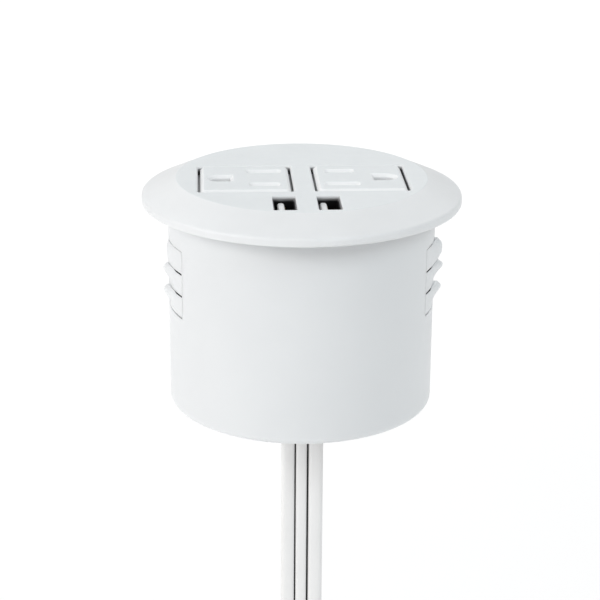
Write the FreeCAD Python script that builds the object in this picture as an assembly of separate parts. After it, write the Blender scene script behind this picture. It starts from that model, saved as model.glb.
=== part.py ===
"""In-desk power grommet: two grounded outlets and two USB charging ports in a round cup.

Millimetres. The origin is the centre of the flange's underside, which is the desk surface.
+Z points up out of the desk, +X runs along the row of outlets, and the USB ports are on -Y.
"""

import FreeCAD
import Part

import math
import os

from FreeCAD import Vector

# Driving dimensions -------------------------------------------------------------------------

FLANGE_R = 43.45
FLANGE_RIM_Z = 2.4
DISC_R = 34.0
DISC_Z = 6.5
DISC_WALL = 2.4
POCKET_R = 33.0
SPIGOT_R = 34.4
SPIGOT_DEPTH = 4.0

CUP_R = 36.45
CUP_WALL = 1.8
CUP_INNER_R = CUP_R - CUP_WALL
CUP_BOTTOM_Z = -57.2
CUP_FLOOR = 2.0
FLOOR_Z = CUP_BOTTOM_Z + CUP_FLOOR

OUTLET_X = 15.5
OUTLET_Y = -2.4
WINDOW_X = 25.4
WINDOW_Y = 25.0
FACE_X = 24.0
FACE_Y = 24.4
FACE_PROUD = 0.2
FACE_CHAMFER = 0.9
FACE_PLATE_X = 26.8
FACE_PLATE_Y = 25.8
FACE_PLATE = 2.0
FACE_SEAT_Z = DISC_Z - DISC_WALL
BASE_TOP_Z = FACE_SEAT_Z - FACE_PLATE
BASE_BOTTOM_Z = -20.0
BASE_FLOOR_Z = -17.0

# A grounded outlet to the North American 15 A pattern, seen with its ground on +X.
SLOT_X = -5.15
SLOT_SPACING = 12.7
SLOT_WIDTH = 1.8
SLOT_LEAD_IN = 0.85
HOT_SLOT = 6.6
NEUTRAL_SLOT = 8.1
GROUND_FROM_SLOTS = 11.9
GROUND_X = SLOT_X + GROUND_FROM_SLOTS
GROUND_LONG = 5.6
GROUND_WIDE = 4.9
HOT_Y = SLOT_SPACING / 2
NEUTRAL_Y = -SLOT_SPACING / 2

CONTACT_SHEET = 0.6
BLADE_THICKNESS = 1.5
CONTACT_BOTTOM_Z = -15.6
TAIL_BOTTOM_Z = -24.0

SPRING_X = 1.9
SPRING_Z = -0.2
SPRING_R = 0.75
SPRING_WIRE_R = 0.15
SPRING_TURNS = 10

USB_X = 5.8
USB_Y = -25.7
USB_WINDOW_X = 6.1
USB_WINDOW_Y = 12.4
USB_SHELL_X = 6.5
USB_SHELL_Y = 12.9
USB_NECK_X = 5.7
USB_NECK_Z = 4.9
USB_SHEET = 0.3
USB_TOP_Z = 5.6
TONGUE_CENTRES = {"left": -USB_X - 0.85, "right": USB_X - 1.35}
TONGUE_THICK = 1.8
TONGUE_LONG = 11.0
TONGUE_TOP_Z = 4.9
TONGUE_BLOCK_TOP_Z = -7.6

BOARD_TOP_Z = -10.6
BOARD_THICK = 1.6
BOARD_BOTTOM_Z = BOARD_TOP_Z - BOARD_THICK
BOARD_POSTS = [(12.3, -27.5), (-12.3, -27.5)]
TRANSFORMER = (-5.5, -21.6)

HOUSING_POSTS = [(18.0, 22.0), (-18.0, 22.0), (19.0, -23.0), (-19.0, -23.0)]
POST_BOTTOM_Z = -24.0
WELL_TOP_Z = -26.5

# A grip fin is a tongue cut out of the cup's wall. Its root is at the front, and its free end,
# towards the middle of the side, stands out of the wall.
FIN_TOP_Z = -10.15
FIN_PITCH = 6.2
FIN_SLIT = 0.45
FIN_HEIGHT = FIN_PITCH - FIN_SLIT
FIN_LEVELS = ("upper", "middle", "lower")
FIN_ROOT_Y = -15.65
FIN_TIP_Y = -5.1
FIN_ROOT_GAP = 0.25
FIN_TIP_GAP = 1.3
FIN_WALL = 1.6
FIN_MIDDLE_SHARE = 0.28
FIN_LIFTS = {
    "right": {"upper": 2.15, "middle": 2.45, "lower": 2.1},
    "left": {"upper": 0.7, "middle": 1.7, "lower": 1.75},
}

# How the free end stands out at a depth below the fin's top edge, as a share of its full lift.
BARB_PROFILE = [(0.0, 0.5), (0.12, 0.7), (0.35, 0.87), (0.9, 1.0), (1.6, 0.94), (4.5, 0.0)]
ROUND_PROFILE = [(0.0, 0.35), (0.2, 0.6), (0.6, 0.83), (1.5, 1.0), (3.6, 0.97), (FIN_HEIGHT, 0.5)]

CORD_X = 0.6
CORD_WIDTH = 12.0
CORD_THICK = 4.2
CORD_START_Z = -43.0
RELIEF_TOP_Z = -49.0
RELIEF_BOTTOM_Z = -69.2
CLAMP_HALF_X = 12.0
CLAMP_FRONT_Y = -6.3
CLAMP_TOP_Z = -43.4
CLAMP_BOTTOM_Z = -48.4
CLAMP_SCREW_X = 9.6
CLAMP_SCREW_Z = -45.9

WIRE_R = 1.2
FEED_R = 0.7
JUMPER_LEVELS = {"ground": -27.0, "hot": -30.9, "neutral": -34.8}
SPLICE_R = 1.9
SPLICE_LENGTH = 6.0
FEED_START = 2.9
FEED_TURN_Y = -12.0
FEED_PAD_Y = -17.2
CONDUCTOR_X = 3.9

# The cord hangs straight, swings forward under the cup and joins the outside of its coil.
CORD_ROUTE = [
    (CORD_X, 0.0, CORD_START_Z),
    (CORD_X, 0.0, -147.0),
    (CORD_X, -19.1, -184.4),
    (CORD_X, -53.0, -209.1),
]
COIL_CENTRE = (-11.9, -265.7)
COIL_OUTER_TURN_R = 70.0
COIL_INNER_TURN_R = 51.0

# The last stretch leaves the side of the coil and carries the plug.
TAIL_ROUTE = [
    (5.1, -63.9, -267.5),
    (11.1, -60.4, -289.4),
    (16.6, -47.9, -308.6),
    (19.8, -29.5, -319.9),
    (20.1, -14.0, -321.8),
]
TAIL_R = 3.7
TIE_ANGLE = 130.0
TIE_WIDTH = 11.0
TIE_THICK = 1.2

PLUG_LENGTH = 36.0
PLUG_X = 25.0
PLUG_DEEP = 23.0
BLADE_LENGTH = 16.5
PLUG_PIN_R = 2.4


# Shapes that repeat -------------------------------------------------------------------------

def box(x0, x1, y0, y1, z0, z1):
    """A box between two corners."""
    return Part.makeBox(x1 - x0, y1 - y0, z1 - z0, Vector(x0, y0, z0))


def cylinder(x, y, z0, z1, radius):
    """An upright cylinder."""
    return Part.makeCylinder(radius, z1 - z0, Vector(x, y, z0))


def rounded_wire(cx, cy, z, lx, ly, radius):
    """A rectangle with round corners, in a level plane."""
    hx, hy = lx / 2 - radius, ly / 2 - radius
    edges = []
    corners = [(hx, hy, 0), (-hx, hy, 90), (-hx, -hy, 180), (hx, -hy, 270)]
    for index, (x, y, start) in enumerate(corners):
        centre = Vector(cx + x, cy + y, z)
        points = []
        for step in (0, 45, 90):
            angle = math.radians(start + step)
            points.append(centre + Vector(math.cos(angle), math.sin(angle), 0) * radius)
        edges.append(Part.Arc(*points).toShape())
        nx, ny, nstart = corners[(index + 1) % 4]
        angle = math.radians(nstart)
        following = Vector(cx + nx, cy + ny, z) + Vector(math.cos(angle), math.sin(angle), 0) * radius
        edges.append(Part.LineSegment(points[2], following).toShape())
    return Part.Wire(edges)


def rounded_prism(cx, cy, z0, z1, lx, ly, radius):
    """An upright bar with a rounded rectangular section."""
    return Part.Face(rounded_wire(cx, cy, z0, lx, ly, radius)).extrude(Vector(0, 0, z1 - z0))


def tapered_prism(cx, cy, low, high):
    """A loft between two rounded rectangles, each given as (z, lx, ly, radius)."""
    wires = [rounded_wire(cx, cy, z, lx, ly, radius) for z, lx, ly, radius in (low, high)]
    return Part.makeLoft(wires, True, True)


def prism_along_x(points, x0, x1):
    """A polygon of (y, z) points carried from x0 to x1."""
    corners = [Vector(x0, y, z) for y, z in points]
    return Part.Face(Part.makePolygon(corners + corners[:1])).extrude(Vector(x1 - x0, 0, 0))


def turned_profile(edges):
    """A closed profile in the XZ plane turned about the Z axis."""
    face = Part.Face(Part.Wire(edges))
    return face.revolve(Vector(0, 0, 0), Vector(0, 0, 1), 360)


def joined(first, *rest):
    """One solid from overlapping or touching ones."""
    return first.fuse(list(rest)).removeSplitter()


def chamfered(shape, z, size):
    """The shape with the edges that lie at height z cut back."""
    return shape.makeChamfer(size, [e for e in shape.Edges if lies_at(e, z)])


def lies_at(item, z):
    """Whether an edge or a face is level and at height z."""
    return abs(item.BoundBox.ZMin - z) < 1e-4 and abs(item.BoundBox.ZMax - z) < 1e-4


def countersunk(shape, z, size):
    """The shape with the rims of the holes in its flat top at height z cut back."""
    edges = []
    for face in [f for f in shape.Faces if lies_at(f, z)]:
        rims = [wire for wire in face.Wires if not wire.isSame(face.OuterWire)]
        edges += [edge for wire in rims for edge in wire.Edges]
    return shape.makeChamfer(size, edges)


def half_turned(shape, x, y):
    """The shape turned half round about a vertical line."""
    copy = shape.copy()
    copy.rotate(Vector(x, y, 0), Vector(0, 0, 1), 180)
    return copy


def mirrored(shape):
    """The shape's mirror image across X = 0."""
    return shape.mirror(Vector(0, 0, 0), Vector(1, 0, 0))


def rounded_path(points):
    """Straight runs joined by tangent arcs as large as the runs allow, with the arcs' radii."""
    edges = []
    radii = []
    here = points[0]
    for before, corner, after in zip(points, points[1:], points[2:]):
        back = before - corner
        ahead = after - corner
        setback = 0.45 * min(back.Length, ahead.Length)
        back.normalize()
        ahead.normalize()
        half_turn = (math.pi - back.getAngle(ahead)) / 2
        radius = setback / math.tan(half_turn)
        start = corner + back * setback
        end = corner + ahead * setback
        inward = (back + ahead).normalize()
        middle = corner + inward * (radius / math.cos(half_turn) - radius)
        edges.append(Part.LineSegment(here, start).toShape())
        edges.append(Part.Arc(start, middle, end).toShape())
        radii.append(radius)
        here = end
    edges.append(Part.LineSegment(here, points[-1]).toShape())
    return Part.Wire(edges), radii


def tube(points, radius):
    """A round bar along a route of straight runs and tangent arcs."""
    corners = [Vector(*p) for p in points]
    path, radii = rounded_path(corners)
    circle = Part.Circle(corners[0], corners[1] - corners[0], radius).toShape()
    return path.makePipeShell([Part.Wire([circle])], True, False), path, radii


def report_tube(name, shape, path, radii, section_area):
    """Print a tube's arc radii, its length and its volume against section times length."""
    ratio = shape.Volume / (section_area * path.Length)
    print(name, "radii", [round(r, 1) for r in radii])
    print(name, "length", round(path.Length, 1), "volume ratio", round(ratio, 4))


def wire(points, radius=WIRE_R):
    """An insulated wire along a route."""
    return tube(points, radius)[0]


def screw(x, y, head_z, head_r, head_height, shank_r, tip_z):
    """A cross-recessed pan-head screw that points up, its head below head_z."""
    head = cylinder(x, y, head_z - head_height, head_z, head_r)
    shank = cylinder(x, y, head_z, tip_z, shank_r)
    arm = head_r * 0.55
    recess = joined(
        box(x - arm, x + arm, y - 0.3, y + 0.3, head_z - head_height - 1, head_z - head_height * 0.45),
        box(x - 0.3, x + 0.3, y - arm, y + arm, head_z - head_height - 1, head_z - head_height * 0.45),
    )
    return joined(head, shank).cut(recess)


# Cover and cup ------------------------------------------------------------------------------

def cover_blank():
    """The domed flange: a flat disc, a conical band and a rounded rim."""
    edge = 0.5
    p0 = Vector(0, 0, 0)
    p1 = Vector(FLANGE_R - edge, 0, 0)
    p2 = Vector(FLANGE_R, 0, edge)
    p3 = Vector(FLANGE_R, 0, FLANGE_RIM_Z - 0.9)
    p4 = Vector(FLANGE_R - 0.55, 0, FLANGE_RIM_Z + 0.1)
    p5 = Vector(DISC_R, 0, DISC_Z)
    p6 = Vector(0, 0, DISC_Z)
    low_mid = Vector(FLANGE_R - edge * 0.29, 0, edge * 0.29)
    high_mid = Vector(FLANGE_R - 0.16, 0, FLANGE_RIM_Z - 0.27)
    return turned_profile([
        Part.LineSegment(p0, p1).toShape(),
        Part.Arc(p1, low_mid, p2).toShape(),
        Part.LineSegment(p2, p3).toShape(),
        Part.Arc(p3, high_mid, p4).toShape(),
        Part.LineSegment(p4, p5).toShape(),
        Part.LineSegment(p5, p6).toShape(),
        Part.LineSegment(p6, p0).toShape(),
    ])


def bevelled_window(cx, cy, lx, ly, radius, bevel):
    """A cutter for a window through the disc, with a bevel round its top edge."""
    hole = rounded_prism(cx, cy, -SPIGOT_DEPTH - 1, DISC_Z + 1, lx, ly, radius)
    flare = tapered_prism(
        cx, cy,
        (DISC_Z - bevel, lx, ly, radius),
        (DISC_Z + 0.01, lx + 2 * bevel, ly + 2 * bevel, radius + bevel),
    )
    return joined(hole, flare)


def ear_centres():
    """The four receptacle screws."""
    return [
        (side * (OUTLET_X - 1.0), OUTLET_Y + end * 15.5)
        for side in (1, -1)
        for end in (1, -1)
    ]


def top_cover():
    """Flange, disc, spigot and every screw post in one moulding."""
    shape = cover_blank()
    shape = shape.cut(cylinder(0, 0, -1, FACE_SEAT_Z, POCKET_R))
    relief = cylinder(0, 0, -1, 1.8, 41.2).cut(cylinder(0, 0, -2, 3, 37.4))
    shape = shape.cut(relief)
    spigot = cylinder(0, 0, -SPIGOT_DEPTH, 0, SPIGOT_R).cut(cylinder(0, 0, -6, 1, POCKET_R))
    parts = [spigot]
    for x, y in HOUSING_POSTS:
        parts.append(cylinder(x, y, POST_BOTTOM_Z, FACE_SEAT_Z, 3.0))
    for x, y in BOARD_POSTS:
        parts.append(cylinder(x, y, BOARD_TOP_Z, FACE_SEAT_Z, 2.0))
    for x, y in ear_centres():
        parts.append(cylinder(x, y, BASE_TOP_Z, FACE_SEAT_Z, 2.1))
    shape = joined(shape, *parts)
    cutters = []
    for side in (1, -1):
        cutters.append(bevelled_window(side * OUTLET_X, OUTLET_Y, WINDOW_X, WINDOW_Y, 0.9, 0.45))
        cutters.append(bevelled_window(side * USB_X, USB_Y, USB_WINDOW_X, USB_WINDOW_Y, 0.35, 0.12))
    well_x = USB_X + USB_SHELL_X / 2 + 0.1
    well_y = USB_SHELL_Y / 2 + 0.1
    cutters.append(box(-well_x, well_x, USB_Y - well_y, USB_Y + well_y, -SPIGOT_DEPTH - 1, USB_TOP_Z))
    for x, y in HOUSING_POSTS:
        cutters.append(cylinder(x, y, POST_BOTTOM_Z - 1, -12.0, 1.3))
    for x, y in BOARD_POSTS:
        cutters.append(cylinder(x, y, BOARD_TOP_Z - 1, -4.0, 1.0))
    for x, y in ear_centres():
        cutters.append(cylinder(x, y, BASE_TOP_Z - 1, 5.0, 1.25))
    return shape.cut(cutters)


def housing_cup():
    """The cup under the desk: wall, floor, screw wells, fin windows and the clamp's saddle."""
    outer = cylinder(0, 0, CUP_BOTTOM_Z, 0, CUP_R)
    bottom = [e for e in outer.Edges if abs(e.BoundBox.ZMax - CUP_BOTTOM_Z) < 1e-4]
    shape = outer.makeFillet(1.7, bottom).cut(cylinder(0, 0, FLOOR_Z, 1, CUP_INNER_R))
    wells = [cylinder(x, y, CUP_BOTTOM_Z, POST_BOTTOM_Z, 4.2) for x, y in HOUSING_POSTS]
    low_x = CORD_X - CLAMP_HALF_X
    high_x = CORD_X + CLAMP_HALF_X
    saddle = box(low_x, high_x, CORD_THICK / 2, 6.6, FLOOR_Z, CLAMP_TOP_Z)
    notch = box(low_x + 3.0, high_x - 3.0, 0, 8, FLOOR_Z, CLAMP_BOTTOM_Z - 0.3)
    shape = joined(shape, saddle.cut(notch), *wells)
    cutters = [fin_window(), rounded_prism(CORD_X, 0, CUP_BOTTOM_Z - 1, FLOOR_Z + 1, 14.0, 6.8, 2.4)]
    for x, y in HOUSING_POSTS:
        cutters.append(cylinder(x, y, CUP_BOTTOM_Z - 1, WELL_TOP_Z, 2.9))
        cutters.append(cylinder(x, y, WELL_TOP_Z - 1, POST_BOTTOM_Z + 1, 1.6))
    for x in clamp_screw_xs():
        start = Vector(x, CORD_THICK / 2, CLAMP_SCREW_Z)
        cutters.append(Part.makeCylinder(1.2, 3.6, start, Vector(0, 1, 0)))
    return shape.cut(cutters)


def fin_window():
    """The opening on each side of the cup that holds three fins."""
    bottom = FIN_TOP_Z - len(FIN_LEVELS) * FIN_PITCH
    return box(-50, 50, FIN_ROOT_Y - FIN_ROOT_GAP, FIN_TIP_Y + FIN_TIP_GAP, bottom, FIN_TOP_Z + FIN_SLIT)


def fin_section(z, lift):
    """A right-hand fin's outline at one height: its outer edge drifts out of the wall by lift."""
    root = math.asin(FIN_ROOT_Y / CUP_R)
    tip = math.asin(FIN_TIP_Y / CUP_R)
    angles = (root, (root + tip) / 2, tip)
    lifts = (0.0, lift * FIN_MIDDLE_SHARE, lift)
    outer = [turned_point(CUP_R + out, angle, z) for angle, out in zip(angles, lifts)]
    inner = [turned_point(CUP_R - FIN_WALL, angle, z) for angle in reversed(angles)]
    return Part.Wire([
        Part.Arc(*outer).toShape(),
        Part.LineSegment(outer[2], inner[0]).toShape(),
        Part.Arc(*inner).toShape(),
        Part.LineSegment(inner[2], outer[0]).toShape(),
    ])


def turned_point(radius, angle, z):
    """A point at a distance and an angle from the object's axis."""
    return Vector(radius * math.cos(angle), radius * math.sin(angle), z)


def grip_fin(side, level):
    """One tongue of the grip, made on the right and mirrored for the left."""
    top = FIN_TOP_Z - FIN_LEVELS.index(level) * FIN_PITCH
    lift = FIN_LIFTS[side][level]
    profile = ROUND_PROFILE if level == "upper" else BARB_PROFILE
    wires = [fin_section(top - depth, share * lift) for depth, share in profile]
    if profile[-1][0] < FIN_HEIGHT:
        wires.append(fin_section(top - FIN_HEIGHT, 0.0))
    shape = Part.makeLoft(wires, True, True)
    return mirrored(shape) if side == "left" else shape


# One outlet, made for the right-hand place and turned half round for the left ---------------

def outlet_slot_cutters(z0, z1):
    """The two blade slots and the ground opening."""
    x = OUTLET_X + SLOT_X
    hot = rounded_prism(x, OUTLET_Y + HOT_Y, z0, z1, HOT_SLOT, SLOT_WIDTH, 0.25)
    neutral = rounded_prism(x, OUTLET_Y + NEUTRAL_Y, z0, z1, NEUTRAL_SLOT, SLOT_WIDTH, 0.25)
    half = GROUND_WIDE / 2
    low_x = OUTLET_X + GROUND_X - GROUND_LONG / 2
    round_x = low_x + GROUND_LONG - half
    ground = joined(
        cylinder(round_x, OUTLET_Y, z0, z1, half),
        box(low_x, round_x, OUTLET_Y - half, OUTLET_Y + half, z0, z1),
    )
    return [hot, neutral, ground]


def receptacle_face():
    """The square face: a chamfered plateau on a plate that is held under the disc."""
    top = DISC_Z + FACE_PROUD
    shoulder = top - FACE_CHAMFER
    plateau = rounded_prism(OUTLET_X, OUTLET_Y, FACE_SEAT_Z, shoulder, FACE_X, FACE_Y, 1.1)
    bevel = tapered_prism(
        OUTLET_X, OUTLET_Y,
        (shoulder, FACE_X, FACE_Y, 1.1),
        (top, FACE_X - 2 * FACE_CHAMFER, FACE_Y - 2 * FACE_CHAMFER, 0.5),
    )
    plate = rounded_prism(OUTLET_X, OUTLET_Y, BASE_TOP_Z, FACE_SEAT_Z, FACE_PLATE_X, FACE_PLATE_Y, 2.0)
    shape = joined(plateau, bevel, plate).cut(outlet_slot_cutters(BASE_TOP_Z - 1, DISC_Z + 2))
    return countersunk(shape, top, SLOT_LEAD_IN)


def receptacle_base():
    """The outlet's body, with pockets for the contacts, the shutter and its spring."""
    cx, cy = OUTLET_X, OUTLET_Y
    body = rounded_prism(cx, cy, BASE_BOTTOM_Z, BASE_TOP_Z, FACE_X, FACE_Y, 1.0)
    ears = []
    for end in (1, -1):
        y = cy + end * 14.9
        ears.append(rounded_prism(cx - 1.0, y, BASE_TOP_Z - 2.0, BASE_TOP_Z, 5.2, 6.0, 1.0))
    body = joined(body, *ears)
    tail = CONTACT_SHEET / 2 + 0.05
    cutters = [
        box(cx - 10.8, cx + 0.7, cy - 11.0, cy + 11.0, 0.0, BASE_TOP_Z + 1),
        box(cx + 0.6, cx + 3.1, cy - 11.0, cy + 11.0, -1.6, BASE_TOP_Z + 1),
        box(cx - 10.2, cx - 0.1, cy + HOT_Y - 3.0, cy + HOT_Y + 3.0, BASE_FLOOR_Z, 1.0),
        box(cx - 10.2, cx - 0.1, cy + NEUTRAL_Y - 3.0, cy + NEUTRAL_Y + 3.0, BASE_FLOOR_Z, 1.0),
        box(cx + 3.75, cx + 10.45, cy - 3.4, cy + 3.4, BASE_FLOOR_Z, BASE_TOP_Z + 1),
    ]
    for x, y in contact_tails():
        cutters.append(box(x - 1.35, x + 1.35, y - tail, y + tail, BASE_BOTTOM_Z - 1, BASE_FLOOR_Z + 1))
    for end in (1, -1):
        cutters.append(cylinder(cx - 1.0, cy + end * 15.5, -5, BASE_TOP_Z + 1, 1.25))
    return body.cut(cutters)


def contact_tails():
    """Where the right-hand outlet's hot, neutral and ground tails come down."""
    return [
        (OUTLET_X + SLOT_X, OUTLET_Y + HOT_Y),
        (OUTLET_X + SLOT_X, OUTLET_Y + NEUTRAL_Y),
        (OUTLET_X + GROUND_X, OUTLET_Y),
    ]


def contact_tail(x, y):
    """The flat tail under a contact."""
    half = CONTACT_SHEET / 2
    return box(x - 1.3, x + 1.3, y - half, y + half, TAIL_BOTTOM_Z, CONTACT_BOTTOM_Z)


def blade_contact(x, y, width):
    """Two sprung leaves with flared lips, bent up from one strip."""
    inner = BLADE_THICKNESS / 2
    outer = inner + CONTACT_SHEET
    low = CONTACT_BOTTOM_Z
    outline = [
        (-outer - 0.8, -0.5), (-outer, -2.2), (-outer, low), (outer, low), (outer, -2.2),
        (outer + 0.8, -0.5), (outer + 0.3, -0.3), (inner, -2.3), (inner, low + CONTACT_SHEET),
        (-inner, low + CONTACT_SHEET), (-inner, -2.3), (-outer - 0.3, -0.3),
    ]
    points = [(y + dy, z) for dy, z in outline]
    return joined(prism_along_x(points, x - width / 2, x + width / 2), contact_tail(x, y))


def ground_contact():
    """A split sleeve for the round pin."""
    x = OUTLET_X + GROUND_X + 0.2
    y = OUTLET_Y
    low = CONTACT_BOTTOM_Z
    sleeve = cylinder(x, y, low, -1.5, 3.0).cut(cylinder(x, y, low + CONTACT_SHEET, 0, 2.4))
    sleeve = sleeve.cut(box(x - 4, x, y - 0.8, y + 0.8, low + 2, 0))
    return joined(sleeve, contact_tail(OUTLET_X + GROUND_X, y))


def shutter():
    """The child-safety slider: it covers both slots and is wedged aside by a pair of blades."""
    cx, cy = OUTLET_X, OUTLET_Y
    plate_points = [(-7.6, 0.2), (-4.8, 1.8), (7.7, 1.8), (7.7, 0.2)]
    plate = prism_along_x([(cy + y, z) for y, z in plate_points], cx - 10.4, cx + 0.4)
    window_points = [(2.1, 0.0), (2.1, 2.0), (7.75, 2.0), (4.35, 0.0)]
    window = prism_along_x([(cy + y, z) for y, z in window_points], cx - 9.8, cx - 0.5)
    tab = box(cx, cx + 2.9, cy - 4.6, cy - 3.0, -1.1, 1.8)
    bridge = box(cx - 0.4, cx + 1.0, cy - 4.6, cy - 3.0, 0.2, 1.8)
    return joined(plate.cut(window), tab.cut(box(cx - 1, cx + 0.75, cy - 5, cy, -2, 0.2)), bridge)


def shutter_spring():
    """The compression spring between the shutter's tab and the end of its channel."""
    start = OUTLET_Y - 3.0 + SPRING_WIRE_R + 0.05
    length = 14.0 - 2 * SPRING_WIRE_R - 0.1
    helix = Part.makeHelix(length / SPRING_TURNS, length, SPRING_R)
    circle = Part.Circle(Vector(SPRING_R, 0, 0), Vector(0, 1, 0), SPRING_WIRE_R).toShape()
    coil = Part.Wire(helix.Edges).makePipeShell([Part.Wire([circle])], True, True)
    coil.rotate(Vector(0, 0, 0), Vector(1, 0, 0), -90)
    coil.translate(Vector(OUTLET_X + SPRING_X, start, SPRING_Z))
    return coil


def receptacle_screws():
    """Four screws that hold the two outlets up under the disc."""
    return [screw(x, y, BASE_TOP_Z - 2.0, 2.3, 1.8, 1.25, 4.9) for x, y in ear_centres()]


# USB charger --------------------------------------------------------------------------------

def usb_shell(x):
    """The folded metal shell of a port, with its two long sides flared at the mouth."""
    outer = flared_prism(x, BOARD_TOP_Z, 0.0, 0.5)
    return outer.cut(flared_prism(x, BOARD_TOP_Z - 1, USB_SHEET, 0.25))


def flared_prism(x, z0, inset, radius):
    """A port's outline, inset by a wall's thickness, from z0 up to its mouth."""
    neck = USB_NECK_X - 2 * inset
    mouth = USB_SHELL_X - 2 * inset
    depth = USB_SHELL_Y - 2 * inset
    low = rounded_prism(x, USB_Y, z0, USB_NECK_Z, neck, depth, radius)
    ends = (USB_NECK_Z, neck, depth, radius), (USB_TOP_Z, mouth, depth, radius)
    return joined(low, tapered_prism(x, USB_Y, *ends))


def usb_tongue(x, tongue_x):
    """The insulator: a block that closes the shell, and the tongue that carries the contacts."""
    block_x = USB_NECK_X - 2 * USB_SHEET
    block_y = USB_SHELL_Y - 2 * USB_SHEET
    block = rounded_prism(x, USB_Y, BOARD_TOP_Z, TONGUE_BLOCK_TOP_Z, block_x, block_y, 0.25)
    tongue = rounded_prism(
        tongue_x, USB_Y, TONGUE_BLOCK_TOP_Z, TONGUE_TOP_Z, TONGUE_THICK, TONGUE_LONG, 0.7)
    return joined(block, chamfered(tongue, TONGUE_TOP_Z, 0.3))


def usb_contacts():
    """Four contact strips on the wide side of each tongue."""
    strips = []
    for tongue_x in TONGUE_CENTRES.values():
        face = tongue_x + TONGUE_THICK / 2
        for y in (-3.5, -1.0, 1.0, 3.5):
            low_y = USB_Y + y - 0.5
            strips.append(box(face, face + 0.25, low_y, low_y + 1.0, TONGUE_BLOCK_TOP_Z, 4.2))
    return strips


def usb_board():
    """The charger's circuit board, cut to the curve of the cup."""
    plate = box(-15, 15, -34, -16.5, BOARD_BOTTOM_Z, BOARD_TOP_Z)
    plate = plate.common(cylinder(0, 0, BOARD_BOTTOM_Z, BOARD_TOP_Z, 33.6))
    return plate.cut([cylinder(x, y, -20, 0, 1.2) for x, y in BOARD_POSTS])


def transformer_core():
    """An E-shaped ferrite core pair with a round middle leg."""
    x, y, top = *TRANSFORMER, BOARD_BOTTOM_Z - 1.0
    frame = box(x - 6, x + 6, y - 3.6, y + 3.6, top - 11, top)
    frame = frame.cut(box(x - 4.6, x + 4.6, y - 5, y + 5, top - 9, top - 2))
    return joined(frame, cylinder(x, y, top - 9.5, top - 1.5, 1.8))


def transformer_winding():
    """The taped winding and its bobbin foot."""
    x, y, top = *TRANSFORMER, BOARD_BOTTOM_Z - 1.0
    coil = cylinder(x, y, top - 8.9, top - 2.1, 4.5)
    return coil.cut(cylinder(x, y, top - 10, top, 1.8))


def capacitor(x, y, radius, height):
    """A can capacitor hanging from the board, with a rolled groove near its foot."""
    can = cylinder(x, y, BOARD_BOTTOM_Z - height, BOARD_BOTTOM_Z, radius)
    groove = cylinder(x, y, BOARD_BOTTOM_Z - 1.8, BOARD_BOTTOM_Z - 1.2, radius + 1)
    groove = groove.cut(cylinder(x, y, -40, 0, radius - 0.3))
    return chamfered(can, BOARD_BOTTOM_Z - height, 0.4).cut(groove)


def packaged_part(x, y, lx, ly, height):
    """A moulded component with sloping sides."""
    return tapered_prism(
        x, y,
        (BOARD_BOTTOM_Z - height, lx - 0.5, ly - 0.5, 0.2),
        (BOARD_BOTTOM_Z, lx, ly, 0.2),
    )


def inductor():
    """A drum-core inductor."""
    x, y = -3.0, -30.8
    drum = cylinder(x, y, BOARD_BOTTOM_Z - 4.2, BOARD_BOTTOM_Z, 2.2)
    waist = cylinder(x, y, BOARD_BOTTOM_Z - 3.2, BOARD_BOTTOM_Z - 1.0, 3.0)
    return drum.cut(waist.cut(cylinder(x, y, -40, 0, 1.7)))


def board_screws():
    """Two screws from the board into the cover's posts."""
    return [screw(x, y, BOARD_BOTTOM_Z, 2.0, 1.5, 1.0, -4.2) for x, y in BOARD_POSTS]


# Wiring -------------------------------------------------------------------------------------

def jumper_ends(kind):
    """The left and right tails that a jumper links."""
    index = ("hot", "neutral", "ground").index(kind)
    x, y = contact_tails()[index]
    return (2 * -OUTLET_X - (x - 2 * OUTLET_X), 2 * OUTLET_Y - y), (x, y)


def jumper(kind):
    """The insulated wire that links one contact of the left outlet with that of the right."""
    (x0, y0), (x1, y1) = jumper_ends(kind)
    level = JUMPER_LEVELS[kind]
    return wire([(x0, y0, TAIL_BOTTOM_Z), (x0, y0, level), (x1, y1, level), (x1, y1, TAIL_BOTTOM_Z)])


def point_on_jumper(kind, x):
    """The jumper's centre at a given x."""
    (x0, y0), (x1, y1) = jumper_ends(kind)
    return Vector(x, y0 + (x - x0) * (y1 - y0) / (x1 - x0), JUMPER_LEVELS[kind])


def splice(kind, x):
    """The crimped sleeve round a jumper, where the cord's wire joins it."""
    (x0, y0), (x1, y1) = jumper_ends(kind)
    along = Vector(x1 - x0, y1 - y0, 0).normalize()
    start = point_on_jumper(kind, x) - along * (SPLICE_LENGTH / 2)
    sleeve = Part.makeCylinder(SPLICE_R, SPLICE_LENGTH, start, along)
    return sleeve.cut(Part.makeCylinder(WIRE_R, SPLICE_LENGTH + 2, start - along, along))


def wire_splices():
    """The three crimped sleeves."""
    places = (("hot", -CONDUCTOR_X), ("neutral", CONDUCTOR_X), ("ground", 0.0))
    return [splice(kind, CORD_X + offset) for kind, offset in places]


def hot_wire():
    """The jumper, the cord's conductor and the feed to the charger."""
    at = point_on_jumper("hot", CORD_X - CONDUCTOR_X)
    low = at.z - SPLICE_R
    main = wire([(at.x, 0, CORD_START_Z), (at.x, 0, -40.6), (at.x, at.y, -37.4), (at.x, at.y, low)])
    feed = wire([
        (at.x, at.y - FEED_START, at.z), (at.x, FEED_TURN_Y, at.z), (at.x - 7.6, FEED_PAD_Y, -27.0),
        (at.x - 7.6, FEED_PAD_Y, BOARD_BOTTOM_Z),
    ], FEED_R)
    return [jumper("hot"), main, feed]


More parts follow.
